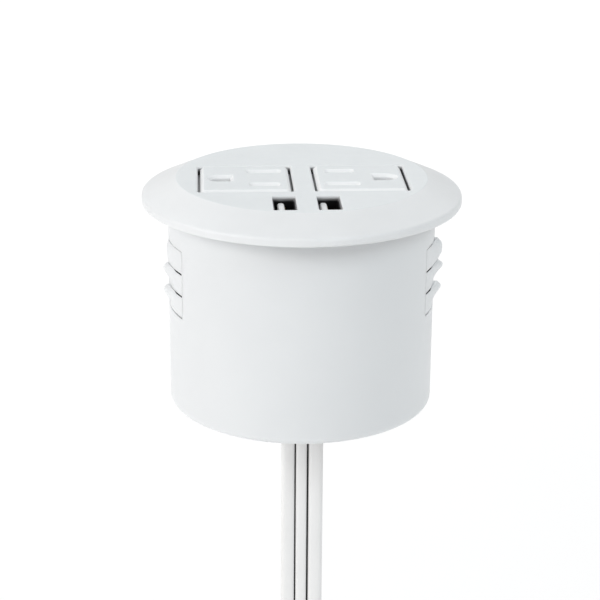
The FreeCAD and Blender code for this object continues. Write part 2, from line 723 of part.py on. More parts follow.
def neutral_wire():
    """The jumper, the cord's conductor and the feed to the charger."""
    at = point_on_jumper("neutral", CORD_X + CONDUCTOR_X)
    low = at.z - SPLICE_R
    main = wire([(at.x, 0, CORD_START_Z), (at.x, 0, -40.8), (at.x, at.y, -39.0), (at.x, at.y, low)])
    feed = wire([
        (at.x, at.y - FEED_START, at.z), (at.x, FEED_TURN_Y, at.z), (at.x + 7.4, FEED_PAD_Y, -30.0),
        (at.x + 7.4, FEED_PAD_Y, BOARD_BOTTOM_Z),
    ], FEED_R)
    return [jumper("neutral"), main, feed]


def ground_wire():
    """The jumper and the cord's conductor, which comes in from behind."""
    at = point_on_jumper("ground", CORD_X)
    main = wire([
        (at.x, 0, CORD_START_Z), (at.x, 0, -40.4), (at.x, 3.8, -36.4), (at.x, 3.8, at.z),
        (at.x, at.y + SPLICE_R, at.z),
    ])
    return [jumper("ground"), main]


# Cord entry and cord ------------------------------------------------------------------------

def clamp_screw_xs():
    """The two screws of the cord clamp."""
    return [CORD_X - CLAMP_SCREW_X, CORD_X + CLAMP_SCREW_X]


def cord_clamp():
    """The bar that presses the cord against its saddle."""
    low_x = CORD_X - CLAMP_HALF_X
    high_x = CORD_X + CLAMP_HALF_X
    bar = box(low_x, high_x, CLAMP_FRONT_Y, -CORD_THICK / 2, CLAMP_BOTTOM_Z, CLAMP_TOP_Z)
    cutters = [box(low_x + 5.5, high_x - 5.5, -7.0, -5.0, CLAMP_BOTTOM_Z - 1, CLAMP_TOP_Z + 1)]
    for x in clamp_screw_xs():
        cutters.append(Part.makeCylinder(1.2, 6, Vector(x, -7, CLAMP_SCREW_Z), Vector(0, 1, 0)))
    return bar.cut(cutters)


def clamp_screws():
    """Two screws along Y, with their heads on the front of the clamp."""
    screws = []
    for x in clamp_screw_xs():
        upright = screw(0, 0, 0, 2.2, 1.6, 1.2, 11.9)
        upright.rotate(Vector(0, 0, 0), Vector(1, 0, 0), -90)
        upright.translate(Vector(x, CLAMP_FRONT_Y, CLAMP_SCREW_Z))
        screws.append(upright)
    return screws


def strain_relief():
    """The tapered sleeve that carries the cord through the bottom, with bend-relief grooves."""
    shape = joined(
        rounded_prism(CORD_X, 0, -53.2, RELIEF_TOP_Z, 14.6, 6.8, 2.4),
        rounded_prism(CORD_X, 0, FLOOR_Z, -53.2, 17.0, 9.4, 3.0),
        rounded_prism(CORD_X, 0, CUP_BOTTOM_Z, FLOOR_Z, 14.0, 6.8, 2.4),
        rounded_prism(CORD_X, 0, -59.0, CUP_BOTTOM_Z, 17.0, 9.4, 3.0),
        tapered_prism(CORD_X, 0, (RELIEF_BOTTOM_Z, 13.4, 5.6, 2.3), (-59.0, 15.6, 8.0, 2.7)),
    )
    grooves = []
    for z in (-61.2, -63.6, -66.0):
        outer = rounded_prism(CORD_X, 0, z, z + 0.9, 20, 14, 3)
        grooves.append(outer.cut(rounded_prism(CORD_X, 0, z - 1, z + 2, 13.2, 5.4, 2.2)))
    passage = rounded_prism(CORD_X, 0, RELIEF_BOTTOM_Z - 1, RELIEF_TOP_Z + 1, CORD_WIDTH, CORD_THICK, 1.9)
    return shape.cut(grooves + [passage])


def cord():
    """The flat cord from the clamp down to its coil."""
    corners = [Vector(*p) for p in CORD_ROUTE]
    path, radii = rounded_path(corners)
    section = rounded_wire(CORD_X, 0, CORD_START_Z, CORD_WIDTH, CORD_THICK, 1.9)
    shape = path.makePipeShell([section], True, False)
    report_tube("cord", shape, path, radii, Part.Face(section).Area)
    return shape


def coil_ring(inner, outer, half_width, corner):
    """A ring about the coil's axis, which runs along X."""
    ring = Part.Face(rounded_wire((inner + outer) / 2, 0, 0, outer - inner, 2 * half_width, corner))
    ring.rotate(Vector(0, 0, 0), Vector(1, 0, 0), 90)
    ring = ring.revolve(Vector(0, 0, 0), Vector(0, 0, 1), 360)
    ring.rotate(Vector(0, 0, 0), Vector(0, 1, 0), 90)
    ring.translate(Vector(CORD_X, *COIL_CENTRE))
    return ring


def cord_coil():
    """The outer shape of the tied coil."""
    half = CORD_THICK / 2
    return coil_ring(COIL_INNER_TURN_R - half, COIL_OUTER_TURN_R + half, CORD_WIDTH / 2, 1.9)


def cord_tail():
    """The last stretch of cord, from the side of the coil to the plug."""
    shape, path, radii = tube(TAIL_ROUTE, TAIL_R)
    report_tube("tail", shape, path, radii, math.pi * TAIL_R ** 2)
    return shape


def cord_tie():
    """The strap round the coil's turns, near where the cord joins them."""
    half = CORD_THICK / 2
    low = COIL_INNER_TURN_R - half - 0.4
    high = COIL_OUTER_TURN_R + half + 0.1
    side = CORD_WIDTH / 2 + 0.1
    middle = (low + high) / 2
    outside = (2 * (side + TIE_THICK), high - low + 2 * TIE_THICK)
    strap = rounded_prism(0, middle, 0, TIE_WIDTH, *outside, 2.4)
    strap = strap.cut(rounded_prism(0, middle, -1, TIE_WIDTH + 1, 2 * side, high - low, 1.4))
    strap.translate(Vector(0, 0, -TIE_WIDTH / 2))
    strap.rotate(Vector(0, 0, 0), Vector(1, 0, 0), TIE_ANGLE)
    strap.translate(Vector(CORD_X, *COIL_CENTRE))
    return strap


def on_plug_axis(shapes):
    """Shapes made with the plug's axis up +Z, laid along the last run of the tail."""
    end = Vector(*TAIL_ROUTE[-1])
    axis = (end - Vector(*TAIL_ROUTE[-2])).normalize()
    turn = FreeCAD.Rotation(Vector(0, 0, 1), axis)
    placed = []
    for shape in shapes:
        copy = shape.copy()
        copy.Placement = FreeCAD.Placement(end, turn).multiply(copy.Placement)
        placed.append(copy)
    return placed


def plug_body():
    """The moulded plug: a tapered neck, a grip with finger rings and a flat front."""
    neck = tapered_prism(0, 0, (0, 13.5, 9.0, 3.0), (12.0, 16.0, 12.0, 4.0))
    shoulder = tapered_prism(0, 0, (12.0, 18.0, 14.0, 5.0), (21.0, PLUG_X, PLUG_DEEP, 6.0))
    head = rounded_prism(0, 0, 21.0, PLUG_LENGTH, PLUG_X, PLUG_DEEP, 6.0)
    shape = joined(neck, shoulder, head)
    grooves = []
    for z in (2.6, 5.6, 8.6):
        outer = rounded_prism(0, 0, z, z + 1.2, 30, 30, 3)
        grooves.append(outer.cut(rounded_prism(0, 0, z - 1, z + 3, 13.0, 8.6, 3.0)))
    shape = shape.cut(grooves)
    return chamfered(shape, PLUG_LENGTH, 1.0)


def plug_blades():
    """The two flat blades, each with a hole near its tip."""
    blades = []
    tip = PLUG_LENGTH + BLADE_LENGTH
    for x, width in ((-SLOT_SPACING / 2, 6.3), (SLOT_SPACING / 2, 7.9)):
        blade = box(x - 0.75, x + 0.75, -4.2 - width / 2, -4.2 + width / 2, PLUG_LENGTH, tip)
        hole = Part.makeCylinder(1.6, 4, Vector(x - 2, -4.2, tip - 4.0), Vector(1, 0, 0))
        blades.append(chamfered(blade, tip, 0.45).cut(hole))
    return blades


def plug_ground_pin():
    """The round ground pin with a domed tip."""
    y = -4.2 + GROUND_FROM_SLOTS
    tip = PLUG_LENGTH + BLADE_LENGTH + 2.0
    return chamfered(cylinder(0, y, PLUG_LENGTH, tip, PLUG_PIN_R), tip, 1.2)


# Assembly -----------------------------------------------------------------------------------

def build_nodes():
    """Every node's solids, by name."""
    nodes = {
        "top_cover": [top_cover()],
        "housing_cup": [housing_cup()],
        "receptacle_screws": receptacle_screws(),
        "usb_contacts": usb_contacts(),
        "usb_board": [usb_board()],
        "transformer_core": [transformer_core()],
        "transformer_winding": [transformer_winding()],
        "input_capacitor": [capacitor(5.4, -21.0, 4.0, 13.0)],
        "output_capacitors": [capacitor(2.5, -29.6, 2.5, 8.0), capacitor(7.7, -28.8, 2.5, 8.0)],
        "bridge_rectifier": [packaged_part(12.2, -20.6, 4.4, 4.0, 2.2)],
        "charger_chip": [packaged_part(12.2, -24.0, 3.4, 2.0, 1.2)],
        "inductor": [inductor()],
        "board_screws": board_screws(),
        "housing_screws": [screw(x, y, WELL_TOP_Z, 2.6, 2.2, 1.3, -12.4) for x, y in HOUSING_POSTS],
        "hot_wire": hot_wire(),
        "neutral_wire": neutral_wire(),
        "ground_wire": ground_wire(),
        "wire_splices": wire_splices(),
        "cord_clamp": [cord_clamp()],
        "clamp_screws": clamp_screws(),
        "strain_relief": [strain_relief()],
        "cord": [cord()],
        "cord_coil": [cord_coil()],
        "cord_tail": [cord_tail()],
        "cord_tie": [cord_tie()],
        "plug_body": on_plug_axis([plug_body()]),
        "plug_blades": on_plug_axis(plug_blades()),
        "plug_ground_pin": on_plug_axis([plug_ground_pin()]),
    }
    outlet_parts = {
        "receptacle_face": receptacle_face(),
        "receptacle_base": receptacle_base(),
        "hot_contact": blade_contact(OUTLET_X + SLOT_X, OUTLET_Y + HOT_Y, 6.4),
        "neutral_contact": blade_contact(OUTLET_X + SLOT_X, OUTLET_Y + NEUTRAL_Y, 7.8),
        "ground_contact": ground_contact(),
        "shutter": shutter(),
        "shutter_spring": shutter_spring(),
    }
    for name, shape in outlet_parts.items():
        nodes[name + "_right"] = [shape]
        left = half_turned(shape, OUTLET_X, OUTLET_Y)
        left.translate(Vector(-2 * OUTLET_X, 0, 0))
        nodes[name + "_left"] = [left]
    for side, x in (("left", -USB_X), ("right", USB_X)):
        nodes["usb_shell_" + side] = [usb_shell(x)]
        nodes["usb_tongue_" + side] = [usb_tongue(x, TONGUE_CENTRES[side])]
    for side in FIN_LIFTS:
        for level in FIN_LEVELS:
            nodes[f"grip_fin_{side}_{level}"] = [grip_fin(side, level)]
    return nodes


def write_nodes():
    """Write one STEP file a node."""
    os.makedirs("parts", exist_ok=True)
    for name, shapes in build_nodes().items():
        solids = [solid for shape in shapes for solid in shape.Solids]
        for solid in solids:
            if not solid.isValid() or solid.Volume <= 0:
                print("bad solid in", name)
        shape = solids[0] if len(solids) == 1 else Part.makeCompound(solids)
        shape.exportStep(os.path.join("parts", name + ".step"))


write_nodes()
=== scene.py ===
"""Looks of the in-desk power grommet: satin white mouldings and a flat three-lobed cord."""

import math

import bpy
from mathutils import Matrix, Vector


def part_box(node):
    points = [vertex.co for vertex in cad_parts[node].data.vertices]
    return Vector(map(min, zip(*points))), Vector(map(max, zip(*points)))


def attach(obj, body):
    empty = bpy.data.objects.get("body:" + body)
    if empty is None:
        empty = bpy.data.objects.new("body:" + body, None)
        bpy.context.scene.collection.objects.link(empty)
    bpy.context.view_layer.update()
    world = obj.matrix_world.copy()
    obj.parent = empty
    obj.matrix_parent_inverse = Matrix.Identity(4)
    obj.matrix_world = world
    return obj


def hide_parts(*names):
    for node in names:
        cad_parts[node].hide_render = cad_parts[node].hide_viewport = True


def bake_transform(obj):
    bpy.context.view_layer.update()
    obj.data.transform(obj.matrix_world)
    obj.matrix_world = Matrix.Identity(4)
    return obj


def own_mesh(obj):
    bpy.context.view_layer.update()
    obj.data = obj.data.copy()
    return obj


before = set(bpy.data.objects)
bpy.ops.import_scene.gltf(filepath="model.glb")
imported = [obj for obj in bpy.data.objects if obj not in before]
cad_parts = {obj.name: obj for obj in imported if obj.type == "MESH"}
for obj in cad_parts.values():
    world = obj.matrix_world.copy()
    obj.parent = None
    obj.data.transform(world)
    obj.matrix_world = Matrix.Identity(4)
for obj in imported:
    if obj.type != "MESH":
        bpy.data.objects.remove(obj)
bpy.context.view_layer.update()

MM = 0.001

# Camera -------------------------------------------------------------------------------------

CAMERA_DISTANCE = 0.501
CAMERA_ELEVATION = math.radians(16.53)
CAMERA_AZIMUTH = math.radians(3.2)
CAMERA_HEADING = math.radians(-3.167)
CAMERA_TILT = math.radians(70.313)
CAMERA_ROLL = math.radians(0.36)
CAMERA_LENS = 110.25

# Cord ---------------------------------------------------------------------------------------

CORD_X = 0.6
CORD_WIDTH = 12.0

# The cord hangs straight, swings forward under the cup and joins the outside of its coil.
CORD_ROUTE = [
    (CORD_X, 0.0, -43.0),
    (CORD_X, 0.0, -105.0),
    (CORD_X, 0.0, -147.0),
    (CORD_X, -19.1, -184.4),
]
COIL_CENTRE = (-11.9, -265.7)
COIL_OUTER_TURN_R = 70.0
COIL_PITCH = 4.7
COIL_START = 126.0
COIL_END = 1580.0
COIL_STEP = 15.0
# A curve of this order cuts inside its points, so they stand a little further out.
COIL_CUT = 0.9915

# The last stretch leaves the side of the coil and carries the plug.
TAIL_ROUTE = [
    (1.0, -59.0, -246.5),
    (5.1, -62.6, -267.5),
    (11.1, -59.4, -289.4),
    (16.6, -47.9, -308.6),
    (19.8, -29.5, -319.9),
    (20.1, -14.0, -321.8),
]


def cord_points():
    """The control points of the cord's line, in metres."""
    points = list(CORD_ROUTE)
    count = round((COIL_END - COIL_START) / COIL_STEP)
    for index in range(count + 1):
        turn = COIL_START + (COIL_END - COIL_START) * index / count
        radius = COIL_OUTER_TURN_R - COIL_PITCH * (turn - COIL_START) / 360
        radius = radius / (COIL_CUT if index else 1.0)
        y = COIL_CENTRE[0] + radius * math.cos(math.radians(turn))
        z = COIL_CENTRE[1] + radius * math.sin(math.radians(turn))
        points.append((CORD_X, y, z))
    points.extend(TAIL_ROUTE)
    return [Vector(p) * MM for p in points]


def smooth_line(points, resolution):
    """Points read from the NURBS spline that has these control points."""
    data = bpy.data.curves.new("cord_line", "CURVE")
    data.dimensions = "3D"
    spline = data.splines.new("NURBS")
    spline.points.add(len(points) - 1)
    for point, place in zip(spline.points, points):
        point.co = (*place, 1.0)
    spline.order_u = 3
    spline.use_endpoint_u = True
    spline.resolution_u = resolution
    holder = bpy.data.objects.new("cord_line", data)
    bpy.context.scene.collection.objects.link(holder)
    bpy.context.view_layer.update()
    mesh = bpy.data.meshes.new_from_object(holder)
    line = [v.co.copy() for v in mesh.vertices]
    bpy.data.objects.remove(holder)
    bpy.data.meshes.remove(mesh)
    return line


# Section of the cord, in millimetres: three lobes side by side, each (left edge, right edge,
# squareness of the left side, squareness of the right side).
LOBES = [(-6.0, -2.2, 3.0, 5.0), (-1.84, 1.32, 5.0, 5.0), (1.79, 6.0, 5.0, 3.0)]
LOBE_HALF_THICK = 2.1
LOBE_POINTS = 14
WEB_HALF_THICK = 0.45
GROOVE_FADE = 1.2
EDGE_LEFT_PLAIN = 2.2


def cord_section():
    """The section's outline as (across, out) points in millimetres, counter-clockwise."""
    upper = []
    for index, (left, right, left_square, right_square) in enumerate(LOBES):
        for step in range(LOBE_POINTS + 1):
            angle = math.pi * (1 - step / LOBE_POINTS)
            power = 2 / (left_square if step < LOBE_POINTS / 2 else right_square)
            across = math.copysign(abs(math.cos(angle)) ** power, math.cos(angle))
            height = LOBE_HALF_THICK * abs(math.sin(angle)) ** power
            meets_left = step == 0 and index > 0
            meets_right = step == LOBE_POINTS and index < len(LOBES) - 1
            if meets_left or meets_right:
                height = WEB_HALF_THICK
            upper.append(((left + right) / 2 + (right - left) / 2 * across, height))
    lower = [(x, -y) for x, y in reversed(upper[1:-1])]
    return upper + lower


TWIST = math.radians(70)
TWIST_STARTS = (105 * MM, 70 * MM)
TWIST_ENDS = (6 * MM, 34 * MM)


def cord_twist(left):
    """The cord's twist in radians, by the length left to the plug: it turns flat against the coil."""
    return TWIST * smoothstep(*TWIST_STARTS, left) * smoothstep(*TWIST_ENDS, left)


def smoothstep(low, high, value):
    """0 at low, 1 at high, and smooth between."""
    share = max(0.0, min(1.0, (value - low) / (high - low)))
    return share * share * (3 - 2 * share)


def sweep(name, line, section, twist):
    """A closed tube: the section carried along the line with its width along X, then twisted."""
    lengths = [0.0]
    for a, b in zip(line, line[1:]):
        lengths.append(lengths[-1] + (b - a).length)
    vertices = []
    for index, centre in enumerate(line):
        before = line[max(index - 1, 0)]
        after = line[min(index + 1, len(line) - 1)]
        tangent = (after - before).normalized()
        across = Vector((1, 0, 0)) - tangent * tangent.x
        across.normalize()
        across = Matrix.Rotation(twist(lengths[-1] - lengths[index]), 3, tangent) @ across
        out = across.cross(tangent)
        for a, o in section:
            vertices.append(centre + across * (a * MM) + out * (o * MM))
    count = len(section)
    faces = []
    for ring in range(len(line) - 1):
        for index in range(count):
            following = (index + 1) % count
            faces.append((
                ring * count + index, ring * count + following,
                (ring + 1) * count + following, (ring + 1) * count + index,
            ))
    faces.append(tuple(range(count - 1, -1, -1)))
    faces.append(tuple((len(line) - 1) * count + index for index in range(count)))
    mesh = bpy.data.meshes.new(name)
    mesh.from_pydata(vertices, [], faces)
    mesh.update()
    piece = bpy.data.objects.new(name, mesh)
    bpy.context.scene.collection.objects.link(piece)
    return piece


def add_cord():
    """The free cord: three lobes side by side, in one length from the clamp to the plug."""
    line = smooth_line(cord_points(), 6)
    section = cord_section()
    piece = sweep("flat_cord", line, section, cord_twist)
    # The groove attribute marks where painted shade darkens the grooves between the lobes.
    groove = piece.data.attributes.new("groove", "FLOAT", "POINT")
    depths = [max(0.0, 1 - (abs(out) - WEB_HALF_THICK) / GROOVE_FADE) for _, out in section]
    inner = CORD_WIDTH / 2 - EDGE_LEFT_PLAIN
    depths = [d if abs(across) < inner else 0.0 for d, (across, _) in zip(depths, section)]
    groove.data.foreach_set("value", depths * len(line))
    piece.data.shade_smooth()
    piece.data.materials.append(cord_jacket())
    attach(piece, "housing")
    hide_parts("cord", "cord_coil", "cord_tail")


# Grip fins ----------------------------------------------------------------------------------

CUP_RADIUS = 36.45
FIN_ROOT_Y = 15.65
FIN_ROOT_ANGLE = -math.asin(FIN_ROOT_Y / CUP_RADIUS)
ROOT_REACH = 0.6 * MM
ROOT_PROUD = 0.02 * MM
ROOT_ANGLE_MARGIN = 0.002
TOP_MARGIN = 0.02 * MM
SLIT_SHARE = 0.3 * MM
UPPER_SLIT_SHARE = 0.42 * MM
SHARE_FADE = 1.0 * MM
DARK_END = 3.4 * MM
DARK_FADE = 1.5 * MM
LEVEL_NORMAL = 0.9


def add_fin_skin(name):
    """A grip fin with its living hinge: the root runs into the wall, and its slit narrows."""
    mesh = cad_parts[name].data.copy()
    mesh.name = name + "_skin"
    low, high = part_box(name)
    share = UPPER_SLIT_SHARE if name.endswith("upper") else SLIT_SHARE
    start = -SHARE_FADE if name.endswith("upper") else DARK_END
    for vertex in mesh.vertices:
        along = vertex.co.y - low.y
        if vertex.co.z > high.z - TOP_MARGIN:
            vertex.co.z += share * smoothstep(start, start + SHARE_FADE, along)
        radial = Vector((vertex.co.x, vertex.co.y, 0)).normalized()
        if math.atan2(vertex.co.y, abs(vertex.co.x)) < FIN_ROOT_ANGLE + ROOT_ANGLE_MARGIN:
            tangent = Vector((-radial.y, radial.x, 0)) * math.copysign(1, vertex.co.x)
            vertex.co += radial * ROOT_PROUD - tangent * ROOT_REACH
    # The slit attribute marks the level faces, which get painted shade near the root.
    slit = mesh.attributes.new("slit", "FLOAT", "FACE")
    slit.data.foreach_set("value", [float(abs(f.normal.z) > LEVEL_NORMAL) for f in mesh.polygons])
    mesh.materials.clear()
    mesh.materials.append(fin_plastic(low.y))
    piece = bpy.data.objects.new(name + "_skin", mesh)
    bpy.context.scene.collection.objects.link(piece)
    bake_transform(piece)
    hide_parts(name)


# Shutter springs ----------------------------------------------------------------------------


def add_spring(side):
    """A shutter's spring: a copy of the CAD spring, carried with the housing."""
    name = "shutter_spring_" + side
    piece = bpy.data.objects.new(name + "_coils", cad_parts[name].data.copy())
    bpy.context.scene.collection.objects.link(piece)
    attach(piece, "housing")
    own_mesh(piece)
    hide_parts(name)


# Materials ----------------------------------------------------------------------------------

WHITE = (0.708, 0.721, 0.728)
WHITE_DARK = (0.695, 0.708, 0.716)
RIM_WHITE = (0.722, 0.732, 0.738)
# Painted shade: the cover's level disc is greyer and cooler than its rim.
SHADED_DISC_WHITE = (0.668, 0.694, 0.704)
FACE_WHITE = (0.660, 0.686, 0.696)
# A painted highlight for the bevels of the outlet faces.
HIGHLIGHT_EDGE_WHITE = (0.80, 0.81, 0.815)
GAP_SHADE = (0.04, 0.04, 0.042)
SLOT_SHADE = (0.05, 0.05, 0.052)
SLIT_SHADE = (0.02, 0.02, 0.022)
GROOVE_SHADE = (0.05, 0.05, 0.05)

# Depths below the disc where shade starts and where it is full, in the gaps beside the outlets and in
# their slots, and the distances from the centre over which the gaps' shade ends.
GAP_LIT_DEPTH = 0.3 * MM
GAP_DARK_DEPTH = 1.5 * MM
SLOT_LIT_DEPTH = 2.6 * MM
SLOT_DARK_DEPTH = 3.4 * MM
WINDOWS_REACH = (33.0 * MM, 33.6 * MM)


class Painter:
    """Builds one procedural material on top of a Principled shader."""

    def __init__(self, name):
        self.material = bpy.data.materials.new(name)
        self.material.use_nodes = True
        self.nodes = self.material.node_tree.nodes
        self.links = self.material.node_tree.links
        self.shader = self.nodes["Principled BSDF"]
        coordinates = self.nodes.new("ShaderNodeTexCoord")
        self.place = coordinates.outputs["Object"]
        self.facing = coordinates.outputs["Normal"]

    def set(self, **values):
        """Sets the shader's own sockets, with an underscore for each space in their names."""
        for name, value in values.items():
            self.shader.inputs[name.replace("_", " ")].default_value = value

    def noise(self, scale, detail=2.0, stretch=None):
        """A noise value from 0 to 1, with the scale in features a metre."""
        texture = self.nodes.new("ShaderNodeTexNoise")
        texture.inputs["Scale"].default_value = scale
        texture.inputs["Detail"].default_value = detail
        place = self.place
        if stretch:
            mapping = self.nodes.new("ShaderNodeMapping")
            mapping.inputs["Scale"].default_value = stretch
            self.links.new(place, mapping.inputs["Vector"])
            place = mapping.outputs["Vector"]
        self.links.new(place, texture.inputs["Vector"])
        return texture.outputs["Fac"]

    def spread(self, value, low, high, start=0.3, end=0.7):
        """The value mapped from start..end to low..high."""
        node = self.nodes.new("ShaderNodeMapRange")
        node.inputs["From Min"].default_value = start
        node.inputs["From Max"].default_value = end
        node.inputs["To Min"].default_value = low
        node.inputs["To Max"].default_value = high
        self.links.new(value, node.inputs["Value"])
        return node.outputs["Result"]

    def mix(self, value, first, second):
        """A colour between two, where each is a colour or an output."""
        node = self.nodes.new("ShaderNodeMix")
        node.data_type = "RGBA"
        self.links.new(value, node.inputs["Factor"])
        for socket, colour in ((node.inputs[6], first), (node.inputs[7], second)):
            if isinstance(colour, tuple):
                socket.default_value = (*colour, 1.0)
            else:
                self.links.new(colour, socket)
        return node.outputs[2]

    def let_light_in(self):
        """Light scatters a millimetre or two under the surface, as in white plastic."""
        self.set(Subsurface_Weight=0.6, Subsurface_Scale=1.4 * MM, Subsurface_Radius=(1, 1, 1))

    def colour(self, output):
        self.links.new(output, self.shader.inputs["Base Color"])

    def roughness(self, output):
        self.links.new(output, self.shader.inputs["Roughness"])

    def bump(self, value, distance, strength=1.0, bevel=None):
        """Bumps of the given height in metres, over edges rounded by bevel metres."""
        node = self.nodes.new("ShaderNodeBump")
        node.inputs["Distance"].default_value = distance
        node.inputs["Strength"].default_value = strength
        self.links.new(value, node.inputs["Height"])
        if bevel:
            rounding = self.nodes.new("ShaderNodeBevel")
            rounding.samples = 4
            rounding.inputs["Radius"].default_value = bevel
            self.links.new(rounding.outputs["Normal"], node.inputs["Normal"])
        self.links.new(node.outputs["Normal"], self.shader.inputs["Normal"])

    def attribute(self, name):
        """A value stored on the mesh."""
        node = self.nodes.new("ShaderNodeAttribute")
        node.attribute_name = name
        return node.outputs["Fac"]

    def axis(self, letter):
        """One coordinate of the surface in the object's own frame, in metres."""
        node = self.nodes.new("ShaderNodeSeparateXYZ")
        self.links.new(self.place, node.inputs[0])
        return node.outputs[letter]

    def slope(self):
        """1 where the surface is tilted away from level, else 0."""
        node = self.nodes.new("ShaderNodeSeparateXYZ")
        self.links.new(self.facing, node.inputs[0])
        return self.spread(node.outputs["Z"], 1, 0, 0.8, 0.97)

    def distance(self):
        """How far the surface is from the object's own origin, in metres."""
        node = self.nodes.new("ShaderNodeVectorMath")
        node.operation = "LENGTH"
        self.links.new(self.place, node.inputs[0])
        return node.outputs["Value"]

    def product(self, first, second):
        """Two values multiplied."""
        node = self.nodes.new("ShaderNodeMath")
        node.operation = "MULTIPLY"
        self.links.new(first, node.inputs[0])
        self.links.new(second, node.inputs[1])
        return node.outputs["Value"]

    def tint(self, colour, value):
        """A colour made darker by a value."""
        node = self.nodes.new("ShaderNodeVectorMath")
        node.operation = "SCALE"
        self.links.new(colour, node.inputs[0])
        self.links.new(value, node.inputs["Scale"])
        return node.outputs["Vector"]

    def mean(self, first, second):
        """The mean of two values."""
        node = self.nodes.new("ShaderNodeMix")
        node.inputs["Factor"].default_value = 0.5
        self.links.new(first, node.inputs[2])
        self.links.new(second, node.inputs[3])
        return node.outputs[0]

    def cells(self, scale):
        """A random value for each square cell, with the scale in cells a metre."""
        node = self.nodes.new("ShaderNodeTexVoronoi")
        node.distance = "CHEBYCHEV"
        node.inputs["Scale"].default_value = scale
        self.links.new(self.place, node.inputs["Vector"])
        tone = self.nodes.new("ShaderNodeRGBToBW")
        self.links.new(node.outputs["Color"], tone.inputs["Color"])
        return tone.outputs["Val"]

    def bands(self, scale):
        """Soft bands that repeat up the object, with the scale in bands a metre."""
        node = self.nodes.new("ShaderNodeTexWave")
        node.bands_direction = "Z"
        node.inputs["Scale"].default_value = scale
        node.inputs["Distortion"].default_value = 0.6
        self.links.new(self.place, node.inputs["Vector"])
        return node.outputs["Fac"]


def satin(p, rough, bevel, smears=420, grain=0.01 * MM):
    """Gives a painter's plastic a satin gloss, a fine grain and, where it has a bevel, soft edges."""
    p.roughness(p.spread(p.noise(smears, 2), *rough))
    p.bump(p.noise(2600, 2), grain, 0.35, bevel)
    p.set(IOR=1.47)


def moulded(name, light, dark, rough=(0.36, 0.46), bevel=0.2 * MM):
    """Satin moulded plastic with a faint cloudiness."""
    p = Painter(name)
    cloud = p.spread(p.noise(45, 3), 0, 1)
    p.colour(p.mix(cloud, dark, light))
    satin(p, rough, bevel, 380, 0.012 * MM)
    if min(light) > 0.5:
        p.let_light_in()
    return p.material


def layered(name, upper, lower, height, blend, rough=(0.4, 0.5), bevel=0.15 * MM, metallic=0.0):
    """One colour above a height and another below it, over a short blend, as for painted shade low down in
    the charging ports.
    """
    p = Painter(name)
    share = p.spread(p.axis("Z"), 0, 1, height - blend / 2, height + blend / 2)
    cloud = p.spread(p.noise(90, 3), 0.975, 1.0)
    p.colour(p.tint(p.mix(share, lower, upper), cloud))
    satin(p, rough, bevel)
    p.set(Metallic=metallic)
    if min(upper) > 0.5:
        p.let_light_in()
    return p.material


def flange(disc):
    """The cover: a disc painted greyer than its white rim as painted shade on the level top, and painted
    shade down the gaps beside the outlets.
    """
    p = Painter("flange")
    # The level disc is painted greyer than the rim around it: painted shade on the cover's flat top.
    level = p.spread(p.axis("Z"), 0, 1, disc - 0.1 * MM, disc - 0.02 * MM)
    skin = p.mix(level, RIM_WHITE, SHADED_DISC_WHITE)
    depth = p.spread(p.axis("Z"), 1, 0, disc - GAP_DARK_DEPTH, disc - GAP_LIT_DEPTH)
    shade = p.product(depth, p.spread(p.distance(), 1, 0, *WINDOWS_REACH))
    cloud = p.spread(p.noise(90, 3), 0.975, 1.0)
    p.colour(p.tint(p.mix(shade, skin, GAP_SHADE), cloud))
    satin(p, (0.4, 0.5), 0.2 * MM)
    p.let_light_in()
    return p.material


def outlet_face(disc):
    """An outlet's face: a painted highlight of lighter white on the bevels, and painted shade deep in the
    slots.
    """
    p = Painter("outlet_face")
    cloud = p.spread(p.noise(90, 3), 0.975, 1.0)
    # Tilted faces, the bevels, get a painted highlight.
    skin = p.mix(p.slope(), FACE_WHITE, HIGHLIGHT_EDGE_WHITE)
    depth = p.spread(p.axis("Z"), 1, 0, disc - SLOT_DARK_DEPTH, disc - SLOT_LIT_DEPTH)
    p.colour(p.tint(p.mix(depth, skin, SLOT_SHADE), cloud))
    satin(p, (0.4, 0.5), 0.1 * MM)
    p.let_light_in()
    return p.material


def metal(name, light, dark, rough, stretch=(1, 1, 12), scale=700, bevel=0.1 * MM):
    """Drawn or rolled metal: fine lengthwise lines, and duller patches where it was handled."""
    p = Painter(name)
    lines = p.noise(scale, 3, stretch)
    patches = p.spread(p.noise(70, 4), 0, 1)
    p.colour(p.mix(patches, dark, light))
    p.roughness(p.spread(lines, *rough))
    p.bump(lines, 0.008 * MM, 0.5, bevel)
    p.set(Metallic=1.0)
    return p.material


def insulation(name, light, dark):
    """Extruded wire insulation: smooth and a little waxy, with faint drawing lines."""
    p = Painter(name)
    p.colour(p.mix(p.spread(p.noise(160, 3), 0, 1), dark, light))
    p.roughness(p.spread(p.noise(900, 2), 0.28, 0.4))
    p.bump(p.noise(1300, 2), 0.01 * MM, 0.4)
    p.set(IOR=1.5)
    return p.material


def solder_mask():
    """A circuit board: glossy green mask, with paler copper areas showing through in blocks."""
    p = Painter("board")
    blocks = p.cells(260)
    copper = p.spread(blocks, 0, 1, 0.45, 0.5)
    p.colour(p.mix(copper, (0.008, 0.06, 0.022), (0.02, 0.13, 0.045)))
    p.roughness(p.spread(p.noise(500, 3), 0.22, 0.36))
    p.bump(copper, 0.03 * MM, 0.6, 0.1 * MM)
    p.set(IOR=1.52)
    return p.material


def ferrite():
    """Pressed and sintered ferrite: dark grey, with fine pits."""
    p = Painter("ferrite")
    grain = p.noise(2200, 4)
    p.colour(p.mix(p.spread(grain, 0, 1), (0.025, 0.025, 0.027), (0.06, 0.06, 0.065)))
    p.roughness(p.spread(grain, 0.5, 0.75))
    p.bump(grain, 0.05 * MM, 0.7, 0.2 * MM)
    return p.material


